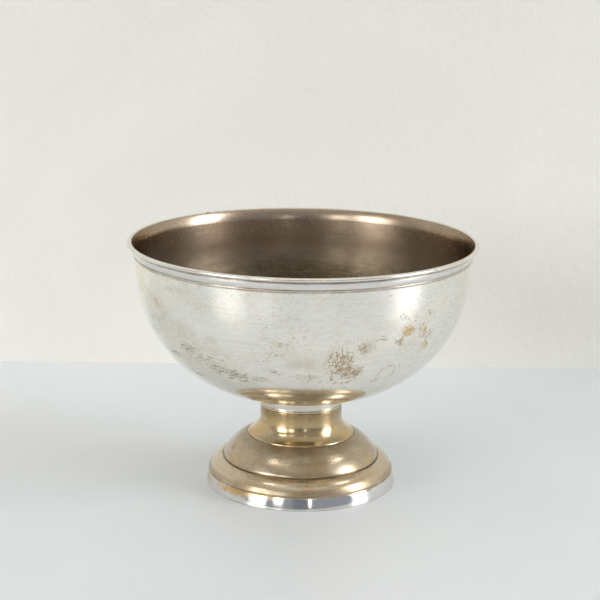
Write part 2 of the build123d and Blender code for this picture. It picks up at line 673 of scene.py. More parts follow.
@dataclass(frozen=True)
class WornSilver:
    """Worn silver plate: polished metal with spin lines, scratches, clouds and tarnish, and painted shade
    where a finish gives it.

    Attributes:
        name: Name of the material.
        metal: Colour of the clean metal.
        cloud: Colour of the thin tarnish that lies in clouds.
        clouding: Share of the surface that the clouds cover.
        tarnish: Colour of the thick tarnish in the seams, and of the painted shade of the wide soft seams.
        roughness: Roughness of the clean metal.
        haze: Roughness that clouds and scratches add.
        lines: Strength of the spin lines.
        specks: Share of the surface with small specks.
        seams: Circles that hold tarnish, and wide soft ones of painted shade.
        stains: Stains at known places.
        radius_of: Radius of the surface at a stain's height.
        waves: Strength of the slow waves in the surface.
        mottling: Strength of the small blotches and of the lines in the colour.
        edge: Tint of the metal where it is seen at a grazing angle.
        coat: Weight of the clear film of tarnish over the metal.
        painted_shade_heights: Heights at which a painted shade, darker toward the bottom of the bowl's
            inside, starts and is full.
        painted_shade_colour: Colour of the metal where that painted shade is full.
    """

    name: str
    metal: Colour
    cloud: Colour
    clouding: float
    tarnish: Colour
    roughness: float
    haze: float
    lines: float
    specks: float = 0.0
    seams: tuple[Seam, ...] = ()
    stains: tuple[Stain, ...] = ()
    radius_of: Callable[[float], float] | None = None
    waves: float = 0.0
    mottling: float = 0.3
    edge: Colour = (1.0, 1.0, 1.0)
    coat: float = 0.0
    painted_shade_heights: tuple[float, float] | None = None
    painted_shade_colour: Colour = (0.0, 0.0, 0.0)

    # Strengths, levels and depths in millimetres that all worn silver shares
    CLOUD_DULLING = 0.5
    SCRATCH_DULLING = 0.5
    LINE_DULLING = 0.06
    TARNISHED_METALLIC = 0.6
    WAVE_DEPTH = 1.2
    LINE_DEPTH = 0.05
    SEAM_BUMP = 0.3
    LINES_SPAN = (0.46, 0.66)
    RING_SHARE = 0.45
    CLOUD_EDGE = 0.70
    CLOUD_SPREAD = 0.45
    CLOUD_RISE = 0.30
    CLOUD_LEAST = 0.35
    SEAM_LEAST = 0.4
    SEAM_CORE = 0.1
    SPECK_STRENGTH = 0.6
    SPECK_GROWTH = 0.04
    DRIFT_GROWTH = 0.12
    # Waver of the upper edge of the painted shade inside the bowl
    PAINTED_SHADE_WAVE = 0.03
    SMUDGE_LEAST = 0.15
    SMUDGE_STRENGTH = 0.6
    COVER_STRENGTH = 0.85
    COVER_RISE = 0.5
    BODY_SPAN = (0.15, 1.05)
    RING_REACH = 0.8
    RING_WAVE = 0.7
    RING_WIDTHS = (0.04, 0.18)
    NET_BEND = (150.0, 0.004)
    NET_LEVELS = (0.9, 0.1)

    def build(self) -> bpy.types.Material:
        """Makes the material.

        Returns:
            The material.
        """
        graph = MetalGraph(self.name)
        section = graph.section()
        clouds = self._clouds(graph)
        seams = self._seam_tarnish_and_shade(graph, section)
        lines = graph.more(graph.cloud(section, SPIN_RINGS), self.RING_SHARE,
                           graph.times(graph.cloud(graph.place, SPIN_STREAKS), 1.0 - self.RING_SHARE))
        # Painted shade, darker toward the bottom of the bowl's inside
        painted_shade = self._painted_shade(graph)

        # Seam tarnish, with the painted shade of the wide soft seams, and specks
        tarnish = graph.larger(seams, self._specks(graph))
        colour = graph.blend(painted_shade, self.metal, self.painted_shade_colour)
        colour = graph.blend(clouds, colour, self.cloud)
        colour = graph.blend(self._mottle(graph, lines), colour, self.cloud)
        colour = graph.blend(tarnish, colour, self.tarnish)
        # From here the tarnish mask also carries the painted shade, which lowers the metallic
        tarnish = graph.larger(tarnish, painted_shade)
        worn = graph.larger(graph.times(clouds, self.CLOUD_DULLING), tarnish)
        for tone, cover in self._stain_covers(graph):
            colour = graph.blend(cover, colour, tone.value)
            tarnish = graph.larger(tarnish, cover)
            worn = graph.larger(worn, cover)

        dull = graph.more(self._scratches(graph), self.SCRATCH_DULLING, worn)
        rough = graph.more(dull, self.haze, self.roughness)
        normal = graph.bump(graph.cloud(graph.place, SLOW_WAVES), self.waves, self.WAVE_DEPTH)
        normal = graph.bump(lines, self.lines, self.LINE_DEPTH, normal)
        normal = graph.bump(graph.times(seams, -1.0), self.SEAM_BUMP, self.LINE_DEPTH, normal)
        return graph.dress({
            "Base Color": colour,
            "Metallic": graph.between(tarnish, 0.0, 1.0, 1.0, self.TARNISHED_METALLIC),
            "Roughness": graph.more(lines, self.LINE_DULLING, rough),
            "Specular Tint": self.edge,
            "Coat Weight": self.coat,
            "Coat Roughness": self.roughness,
            "Normal": normal,
        })

    def _painted_shade(self, graph: MetalGraph) -> Value:
        """Draws the painted shade that grows darker downward inside the bowl.

        Args:
            graph: The material's nodes.

        Returns:
            Its strength, which is 0 where the finish has none.
        """
        if self.painted_shade_heights is None:
            return 0.0
        start, full = (level * MM for level in self.painted_shade_heights)
        lowered = graph.maths("SUBTRACT", graph.parts_of(graph.place)[2], self.PAINTED_SHADE_WAVE / 2)
        wavy = graph.more(graph.cloud(graph.place, PAINTED_SHADE_EDGE), self.PAINTED_SHADE_WAVE, lowered)
        return graph.between(wavy, full, start, 1.0, 0.0)

    def _mottle(self, graph: MetalGraph, lines: Socket) -> Socket:
        """Returns the strength of small blotches, and of the spin lines where they show as colour."""
        blotches = graph.pattern(graph.place, BLOTCHES, 0.0, self.mottling)
        return graph.larger(blotches, graph.between(lines, *self.LINES_SPAN, 0.0, self.mottling))

    def _clouds(self, graph: MetalGraph) -> Socket:
        """Draws thin clouds of tarnish.

        Args:
            graph: The material's nodes.

        Returns:
            Their strength.
        """
        edge = self.CLOUD_EDGE - self.CLOUD_SPREAD * self.clouding
        drawn = graph.between(graph.cloud(graph.place, CLOUDS), edge, edge + self.CLOUD_RISE)
        return graph.times(drawn, min(1.0, self.CLOUD_LEAST + self.clouding))

    def _seam_tarnish_and_shade(self, graph: MetalGraph, section: Socket) -> Value:
        """Draws tarnish along the seams and painted shade along the wide soft ones, uneven round the bucket.

        Args:
            graph: The material's nodes.
            section: Place in the plane of radius and height.

        Returns:
            Its strength.
        """
        uneven = graph.pattern(graph.place, SEAM_GAPS, self.SEAM_LEAST)
        found: Value = 0.0
        for seam in self.seams:
            away = graph.distance(section, (seam.radius * MM, seam.height * MM, 0.0))
            spread = seam.spread * MM
            near = graph.between(away, self.SEAM_CORE * spread, spread, seam.strength, 0.0)
            found = graph.larger(found, graph.times(near, uneven))
        return found

    def _specks(self, graph: MetalGraph) -> Socket:
        """Draws small specks in drifts.

        Args:
            graph: The material's nodes.

        Returns:
            Their strength.
        """
        found: Value = self.SPECK_STRENGTH
        for grain, widening in ((SPECKS, self.SPECK_GROWTH), (SPECK_DRIFTS, self.DRIFT_GROWTH)):
            low, high = (level - widening * self.specks for level in grain.span)
            found = graph.times(found, graph.between(graph.cloud(graph.place, grain), low, high))
        return found

    def _scratches(self, graph: MetalGraph) -> Value:
        """Draws hairline scratches in three directions.

        Args:
            graph: The material's nodes.

        Returns:
            Their strength.
        """
        found: Value = 0.0
        for grain in SCRATCHES:
            found = graph.larger(found, graph.pattern(graph.place, grain))
        return found

    def _stain_covers(self, graph: MetalGraph) -> list[tuple[Tone, Socket]]:
        """Draws the stains, those with one mark and tone together.

        Args:
            graph: The material's nodes.

        Returns:
            Tones and the strength of each.
        """
        covers: list[tuple[Tone, Socket]] = []
        for mark in Mark:
            pattern = self._pattern(graph, mark) if any(s.mark is mark for s in self.stains) else None
            for tone in Tone:
                found: Value | None = None
                for stain in (s for s in self.stains if s.mark is mark and s.tone is tone):
                    body = self._stain_body(graph, stain)
                    found = body if found is None else graph.larger(found, body)
                if found is None:
                    continue
                if mark is Mark.SMUDGE:
                    covers.append((tone, graph.times(graph.times(found, pattern), self.SMUDGE_STRENGTH)))
                    continue
                eaten = graph.maths("ADD", found, graph.more(pattern, 1.0, -1.0))
                covers.append((tone, graph.between(eaten, 0.0, self.COVER_RISE, 0.0, self.COVER_STRENGTH)))
        return covers

    def _stain_body(self, graph: MetalGraph, stain: Stain) -> Socket:
        """Draws the body of one stain, fullest in its middle or along its outline.

        Args:
            graph: The material's nodes.
            stain: The stain.

        Returns:
            Its strength.
        """
        turn = math.radians(stain.bearing)
        reach = self.radius_of(stain.height) * MM
        depth = max(stain.width, stain.rise)
        local = graph.node("Mapping", {"vector_type": "TEXTURE"}, {
            "Vector": graph.place,
            "Location": (reach * math.sin(turn), -reach * math.cos(turn), stain.height * MM),
            "Rotation": (0.0, -math.radians(stain.tilt), turn),
            "Scale": (stain.width / 2 * MM, depth * MM, stain.rise / 2 * MM),
        })
        away = graph.node("VectorMath", {"operation": "LENGTH"}, (local.outputs[0],)).outputs["Value"]
        if stain.mark is not Mark.RING:
            return graph.between(away, *self.BODY_SPAN, stain.strength, 0.0)
        wander = graph.more(graph.cloud(graph.place, RING_WANDER), self.RING_WAVE, -self.RING_WAVE / 2)
        off = graph.maths("SUBTRACT", graph.maths("ADD", away, wander), self.RING_REACH)
        thick = graph.pattern(graph.place, RING_THICKNESS, *self.RING_WIDTHS)
        share = graph.maths("DIVIDE", graph.maths("ABSOLUTE", off), thick)
        return graph.between(share, 0.0, 1.0, stain.strength, 0.0)

    def _pattern(self, graph: MetalGraph, mark: Mark) -> Socket:
        """Draws the pattern of a kind of stain.

        Args:
            graph: The material's nodes.
            mark: Kind of stain.

        Returns:
            The pattern, from 0 to 1.
        """
        if mark is Mark.NET:
            cells = graph.cracks(graph.bent(graph.place, *self.NET_BEND), mark.value.scale)
            return graph.between(cells, *mark.value.span, *self.NET_LEVELS)
        return graph.pattern(graph.place, mark.value, self.SMUDGE_LEAST if mark is Mark.SMUDGE else 0.0)


@dataclass(frozen=True)
class PlainMetal:
    """Unplated metal of the hidden fixing: brass or zinc-plated steel.

    Attributes:
        name: Name of the material.
        metal: Colour of the metal.
        dirt: Colour of the grime on it.
        roughness: Roughness of the clean metal.
    """

    name: str
    metal: Colour
    dirt: Colour
    roughness: float

    FINE_SHARE = 0.4
    DULLING = 0.35
    GRIMY_METALLIC = 0.7
    BUMP = 0.25
    BUMP_DEPTH = 0.03

    def build(self) -> bpy.types.Material:
        """Makes the material.

        Returns:
            The material.
        """
        graph = MetalGraph(self.name)
        grime = graph.pattern(graph.place, GRIME)
        fine = graph.cloud(graph.place, METAL_GRAIN)
        dull = graph.more(fine, self.FINE_SHARE, grime)
        return graph.dress({
            "Base Color": graph.blend(grime, self.metal, self.dirt),
            "Metallic": graph.between(grime, 0.0, 1.0, 1.0, self.GRIMY_METALLIC),
            "Roughness": graph.between(dull, 0.0, 1.0 + self.FINE_SHARE, self.roughness,
                                       self.roughness + self.DULLING),
            "Normal": graph.bump(fine, self.BUMP, self.BUMP_DEPTH),
        })


@dataclass(frozen=True)
class PaintedSurface:
    """Matt paint over a trowelled or brushed ground, for the table and the wall.

    Attributes:
        name: Name of the material.
        paint: Main colour.
        shade: Colour of the paler or darker patches.
        grain: Number of grains of the texture in a metre.
        relief: Depth of the texture in millimetres.
        roughness: Roughness of the paint.
    """

    name: str
    paint: Colour
    shade: Colour
    grain: float
    relief: float
    roughness: float

    BUMP = 0.6

    def build(self) -> bpy.types.Material:
        """Makes the material.

        Returns:
            The material.
        """
        graph = MetalGraph(self.name)
        grains = graph.cloud(graph.place, Grain(self.grain, 8.0, 0.65, 0.2))
        self._open_back(graph)
        return graph.dress({
            "Base Color": graph.blend(graph.pattern(graph.place, PAINT_PATCHES), self.paint, self.shade),
            "Roughness": self.roughness,
            "Normal": graph.bump(grains, self.BUMP, self.relief),
        })

    def _open_back(self, graph: MetalGraph) -> None:
        """Lets the bucket be seen through the back of the surface.

        Args:
            graph: The material's nodes.
        """
        clear = graph.node("BsdfTransparent", {}, ()).outputs[0]
        back = graph.node("NewGeometry", {}, ()).outputs["Backfacing"]
        choice = graph.node("MixShader", {}, (back, graph.shader.outputs[0], clear))
        output = next(n for n in graph.nodes if n.type == "OUTPUT_MATERIAL")
        graph.put(output.inputs["Surface"], choice.outputs[0])


# The bucket
BOWL_INSIDE = WornSilver(
    name="bowl_silver_inside", metal=(0.43, 0.345, 0.265), cloud=(0.35, 0.27, 0.19), clouding=0.5,
    tarnish=(0.20, 0.15, 0.09), roughness=0.22, haze=0.14, lines=0.3, specks=0.3, waves=0.12,
    # Painted shade: the inside darkens from 210 mm down to 150 mm
    edge=(0.40, 0.33, 0.25), painted_shade_heights=(210.0, 150.0), painted_shade_colour=(0.085, 0.066, 0.036), mottling=0.4,
)


@dataclass
class Bowl:
    """The deep spun bowl, with a flat bottom, round sides and a flared lip.

    Attributes:
        sheet: Thickness of the sheet.
        flat_radius: Radius of the flat disc in the bottom.
        side_radius: Radius of the round side.
        wall_taper: Angle that the wall leans outward by.
        wall_top: Height where the lip starts to flare.
        lip_radius: Radius of the flare.
        lip_turn: Turn of the flare.
        steps: Steps of the spin.
        bottom: Height of the underside, taken from the CAD model.
    """

    sheet: float = 1.2
    flat_radius: float = 31.6
    side_radius: float = 110.7
    wall_taper: float = 5.0
    wall_top: float = 205.0
    lip_radius: float = 20.0
    lip_turn: float = 26.4
    steps: int = 240
    bottom: float = 0.0

    def build(self) -> bpy.types.Object:
        """Makes the bowl.

        Returns:
            The piece.
        """
        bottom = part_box("bowl")[0].z / MM
        self.bottom = bottom
        lean = math.radians(self.wall_taper)
        wall_foot = bottom + self.side_radius * (1.0 - math.sin(lean))
        wall = (self.wall_top - wall_foot) / math.cos(lean)
        outside = [
            Straight(self.flat_radius),
            Bend(self.side_radius, QUARTER - self.wall_taper),
            Straight(wall),
            Bend(self.lip_radius, -self.lip_turn),
        ]
        runs = around_sheet(outside, self.sheet, Side.LEFT, round_end=True)
        mesh = Outline(0.0, bottom, 0.0).draw(runs).spun(self.steps)
        Unevenness(depth=0.22, spacing=55.0, low=bottom + 2.0, high=self.wall_top - 3.0).apply(mesh)
        mesh.normal_update()
        for face in mesh.faces:
            looks_up = face.normal.z > 0.0
            face.material_index = int(looks_up)
        silver = (self._outside().build(), BOWL_INSIDE.build())
        return stand_for("bowl", "bowl_silver", "bowl_spun", mesh, *silver)

    def _radius_at(self, height: float) -> float:
        """Works out the radius of the outside surface.

        Args:
            height: Height on the bowl.

        Returns:
            The radius there.
        """
        lean = math.radians(self.wall_taper)
        middle = self.bottom + self.side_radius
        wall_foot = middle - self.side_radius * math.sin(lean)
        if height < wall_foot:
            return self.flat_radius + math.sqrt(self.side_radius ** 2 - (middle - height) ** 2)
        widest = self.flat_radius + self.side_radius * math.cos(lean)
        return widest + (height - wall_foot) * math.tan(lean)

    def _outside(self) -> WornSilver:
        """Returns the finish of the outside."""
        return WornSilver(
            name="bowl_silver_outside", metal=(0.94, 0.92, 0.87), cloud=(0.76, 0.68, 0.54), clouding=0.45,
            tarnish=(0.34, 0.25, 0.15), roughness=0.10, haze=0.18, lines=0.3, specks=1.3, waves=0.12,
            mottling=0.62, seams=(Seam(144.0, 203.0, 1.8), Seam(37.5, 81.6, 2.5)),
            stains=stained({
                (Mark.RING, Tone.BROWN): (
                    (16.0, 129.0, 26.0, 20.0, 0.85), (47.1, 146.0, 13.0, 13.0, 0.9),
                    (34.2, 127.0, 20.0, 17.0, 0.5), (176.0, 158.0, 22.0, 18.0, 0.8),
                ),
                (Mark.NET, Tone.BROWN): (
                    (18.0, 131.0, 26.0, 20.0, 1.0), (30.1, 120.5, 12.0, 7.0, 0.8),
                    (-16.0, 124.0, 30.0, 12.0, 0.55), (118.0, 150.0, 36.0, 22.0, 0.7),
                ),
                (Mark.HAIRS, Tone.BROWN): (
                    (13.5, 143.0, 28.0, 34.0, 1.05), (214.0, 138.0, 24.0, 20.0, 0.8),
                ),
                (Mark.SMUDGE, Tone.BEIGE): (
                    (11.5, 143.0, 36.0, 36.0, 1.0), (22.5, 156.0, 30.0, 20.0, 0.9),
                    (-30.0, 128.0, 60.0, 22.0, 0.8, -8.0), (-60.0, 170.0, 60.0, 54.0, 0.8),
                    (-34.0, 146.0, 60.0, 20.0, 0.7), (2.0, 141.0, 56.0, 16.0, 0.9),
                    (28.0, 170.0, 40.0, 20.0, 0.7), (-32.2, 156.8, 18.0, 14.0, 1.0),
                    (-44.0, 160.0, 46.0, 24.0, 0.9), (-46.0, 193.0, 40.0, 10.0, 0.9),
                    (190.0, 170.0, 40.0, 20.0, 0.9),
                ),
                (Mark.SMUDGE, Tone.BROWN): (
                    (16.5, 139.0, 14.0, 20.0, 0.9), (21.9, 154.5, 18.0, 14.0, 0.8),
                ),
                (Mark.BLOT, Tone.BROWN): (
                    (20.5, 133.0, 18.0, 16.0, 1.0), (21.9, 153.9, 20.0, 16.0, 1.0),
                    (34.6, 156.5, 18.0, 10.0, 1.0, -25.0), (47.5, 156.0, 16.0, 18.0, 0.75),
                    (-8.8, 149.5, 14.0, 8.0, 0.75), (121.0, 141.0, 26.0, 18.0, 0.8),
                ),
                (Mark.STREAKS, Tone.BROWN): (
                    (27.0, 161.5, 24.0, 10.0, 0.7), (-36.0, 136.0, 50.0, 16.0, 0.8),
                    (-6.3, 158.6, 18.0, 8.0, 0.6), (2.0, 128.0, 34.0, 12.0, 0.6),
                ),
                (Mark.BLOT, Tone.AMBER): (
                    (37.5, 164.5, 22.0, 15.0, 1.2), (48.3, 147.0, 13.0, 12.0, 1.0),
                    (-57.4, 176.4, 14.0, 20.0, 0.75), (236.0, 160.0, 18.0, 12.0, 0.8),
                ),
                (Mark.SMUDGE, Tone.AMBER): ((37.5, 164.0, 18.0, 11.0, 0.8),),
                (Mark.HAIRS, Tone.AMBER): ((44.5, 163.0, 14.0, 18.0, 1.1),),
                (Mark.STREAKS, Tone.DARK): (
                    (-27.6, 126.0, 56.0, 17.0, 0.85, -8.0), (-23.5, 120.5, 24.0, 7.0, 1.1),
                    (-44.5, 142.0, 30.0, 18.0, 0.95), (-49.7, 117.1, 22.0, 8.0, 1.1),
                    (-89.0, 121.0, 40.0, 18.0, 1.0), (-58.0, 133.0, 34.0, 12.0, 0.9),
                    (-66.0, 150.0, 30.0, 12.0, 0.75), (-9.7, 133.3, 20.0, 6.0, 0.8, -12.0),
                    (152.0, 128.0, 44.0, 12.0, 0.8, 10.0),
                ),
                (Mark.BLOT, Tone.BEIGE): ((34.9, 176.0, 22.0, 14.0, 0.8),),
                (Mark.BLOT, Tone.DARK): ((46.4, 178.0, 14.0, 9.0, 0.6),),
            }),
            radius_of=self._radius_at,
        )
RIM_WIRE_SILVER = WornSilver(
    name="rim_wire_silver", metal=(0.84, 0.82, 0.77), cloud=(0.66, 0.56, 0.42), clouding=0.4,
    tarnish=(0.30, 0.20, 0.11), roughness=0.16, haze=0.2, lines=0.1, specks=0.3,
    seams=(Seam(147.6, 211.7, 1.3), Seam(145.7, 213.6, 0.9, 0.8)),
    stains=(Stain(Mark.BLOT, Tone.DARK, 217.0, 214.6, 6.0, 3.0, 1.2),),
    radius_of=lambda _: 147.0,
)
RIM_BAND_SILVER = WornSilver(
    name="rim_band_silver", metal=(0.82, 0.81, 0.79), cloud=(0.66, 0.58, 0.46), clouding=0.35,
    tarnish=(0.30, 0.20, 0.11), roughness=0.14, haze=0.2, lines=0.1, specks=0.3,
    seams=(Seam(144.4, 204.6, 1.1), Seam(146.2, 211.2, 2.3), Seam(143.9, 203.2, 0.9)),
    stains=(Stain(Mark.BLOT, Tone.DARK, 55.9, 206.4, 3.5, 5.0, 1.3),),
    radius_of=lambda _: 145.9,
)


@dataclass
class Rim:
    """The oval wire and the moulded band that strengthen the bowl's lip.

    Attributes:
        wire_width: Width of the wire's oval section.
        wire_height: Height of the wire's oval section.
        wire_segments: Segments round the wire's section.
        band_back: Radius at the foot of the band's hidden back, inside the bowl's sheet.
        band_top_back: Radius at the top of that back, which leans outward with the lip.
        band_foot: Radius at the foot of the band's rounded face.
        bead: Height of the fine bead under the face.
        face_radius: Radius of the rounded face.
        face_heading: Direction in which the face sets off.
        face_turn: Turn of the face.
        face_edge: Radius of the round between the face and the band's top.
        steps: Steps of the spin.
    """

    wire_width: float = 4.2
    wire_height: float = 3.3
    wire_segments: int = 36
    band_back: float = 143.1
    band_top_back: float = 144.75
    band_foot: float = 144.2
    bead: float = 1.2
    face_radius: float = 7.33
    face_heading: float = 45.8
    face_turn: float = 52.0
    face_edge: float = 0.5
    steps: int = 240

    def build(self) -> list[bpy.types.Object]:
        """Makes the wire and the band, and returns them."""
        return [self._wire(), self._band()]

    def _wire(self) -> bpy.types.Object:
        """Makes the oval wire.

        Returns:
            The piece.
        """
        low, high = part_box("rim_wire")
        middle = Vector((high.x - self.wire_width / 2 * MM, 0.0, (low.z + high.z) / 2))
        mesh = bmesh.new()
        made = bmesh.ops.create_circle(mesh, segments=self.wire_segments, radius=1.0)
        size = Vector((self.wire_width / 2 * MM, self.wire_height / 2 * MM, 1.0))
        bmesh.ops.scale(mesh, verts=made["verts"], vec=size)
        bmesh.ops.rotate(mesh, verts=made["verts"], matrix=Matrix.Rotation(math.pi / 2, 3, "X"))
        bmesh.ops.translate(mesh, verts=made["verts"], vec=middle)
        wire = spun_round(mesh, self.steps)
        return stand_for("rim_wire", "rim_silver", "rim_wire_oval", wire, RIM_WIRE_SILVER.build())

    def _band(self) -> bpy.types.Object:
        """Makes the moulded band, from the foot of its bead round to its back.

        Returns:
            The piece.
        """
        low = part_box("rim_band")[0].z / MM
        outline = Outline(self.band_back, low, 0.0).draw([
            Straight(self.band_foot - self.band_back),
            Bend(self.bead / 2, HALF),
            Corner(self.face_heading - HALF),
            Bend(self.face_radius, self.face_turn),
            Bend(self.face_edge, HALF - self.face_heading - self.face_turn),
        ])
        band = outline.back_to(self.band_top_back).spun(self.steps)
        return stand_for("rim_band", "rim_silver", "rim_band_moulding", band, RIM_BAND_SILVER.build())
COLLAR_SILVER = WornSilver(
    name="collar_silver", metal=(0.80, 0.77, 0.71), cloud=(0.64, 0.52, 0.34), clouding=0.45,
    tarnish=(0.42, 0.28, 0.11), roughness=0.12, haze=0.16, lines=0.15, specks=0.2,
    seams=(Seam(36.1, 71.8, 1.3), Seam(37.4, 81.2, 3.2)),
)
NECK_SILVER = WornSilver(
    name="neck_golden_silver", metal=(0.50, 0.42, 0.29), cloud=(0.58, 0.38, 0.13), clouding=0.7,
    tarnish=(0.24, 0.155, 0.055), roughness=0.13, haze=0.16, lines=0.4, specks=0.9, waves=0.14, coat=0.5,
    mottling=0.6,
    # The wide soft seam under the collar is painted shade
    seams=(Seam(36.2, 69.9, 3.0), Seam(36.0, 68.0, 10.0, 0.85), Seam(46.6, 43.6, 0.9)),
    stains=(
        Stain(Mark.BLOT, Tone.BEIGE, -62.0, 61.0, 9.0, 6.0, 1.2, -35.0),
        Stain(Mark.SMUDGE, Tone.AMBER, -40.0, 59.0, 22.0, 16.0, 1.3),
    ),
    radius_of=lambda _: 36.5,
)
DOME_SILVER = WornSilver(
    name="dome_brown_silver", metal=(0.49, 0.41, 0.30), cloud=(0.38, 0.27, 0.135), clouding=0.55,
    tarnish=(0.19, 0.13, 0.065), roughness=0.22, haze=0.2, lines=0.6, specks=1.2, waves=0.16, coat=0.5,
    mottling=0.75,
    # The wide soft seam below the neck's edge is painted shade
    seams=(Seam(46.8, 43.4, 0.9), Seam(47.0, 42.6, 14.0, 0.6), Seam(68.1, 23.2, 0.9)),
    stains=(
        Stain(Mark.BLOT, Tone.DARK, -74.0, 34.0, 11.0, 8.0, 1.2, -35.0),
        Stain(Mark.SMUDGE, Tone.AMBER, -62.0, 27.0, 40.0, 12.0, 0.9),
        Stain(Mark.SMUDGE, Tone.AMBER, 66.0, 27.0, 34.0, 10.0, 0.8),
        Stain(Mark.SMUDGE, Tone.BEIGE, 30.0, 28.0, 44.0, 14.0, 0.8),
        Stain(Mark.SMUDGE, Tone.BEIGE, -34.0, 27.0, 40.0, 10.0, 0.7),
    ),
    radius_of=lambda _: 61.0,
)
TIER_SILVER = WornSilver(
    name="tier_golden_silver", metal=(0.62, 0.53, 0.40), cloud=(0.50, 0.35, 0.17), clouding=0.5,
    tarnish=(0.22, 0.15, 0.075), roughness=0.2, haze=0.22, lines=0.6, specks=1.2, waves=0.14, coat=0.5,
    mottling=0.75,
    seams=(Seam(68.4, 22.9, 0.9), Seam(79.6, 13.0, 5.5, 0.6), Seam(80.9, 11.6, 1.0)),
)
STRAP_SILVER = WornSilver(
    name="base_silver", metal=(0.84, 0.83, 0.82), cloud=(0.66, 0.54, 0.36), clouding=0.35,
    tarnish=(0.46, 0.33, 0.16), roughness=0.05, haze=0.16, lines=0.1, specks=0.2,
    seams=(Seam(80.9, 10.8, 1.6, 0.9), Seam(83.0, 0.0, 0.8)),
    stains=(
        Stain(Mark.SMUDGE, Tone.AMBER, -46.0, 8.0, 60.0, 9.0, 2.6),
        Stain(Mark.SMUDGE, Tone.AMBER, -26.0, 10.0, 50.0, 5.0, 2.4),
        Stain(Mark.SMUDGE, Tone.AMBER, -78.0, 6.0, 36.0, 9.0, 2.0),
        Stain(Mark.BLOT, Tone.AMBER, -42.0, 8.6, 56.0, 5.0, 1.5),
        Stain(Mark.SMUDGE, Tone.BEIGE, -18.0, 9.0, 30.0, 5.0, 1.2),
        Stain(Mark.SMUDGE, Tone.AMBER, 150.0, 7.0, 50.0, 8.0, 1.2),
    ),
    radius_of=lambda _: 82.0,
)


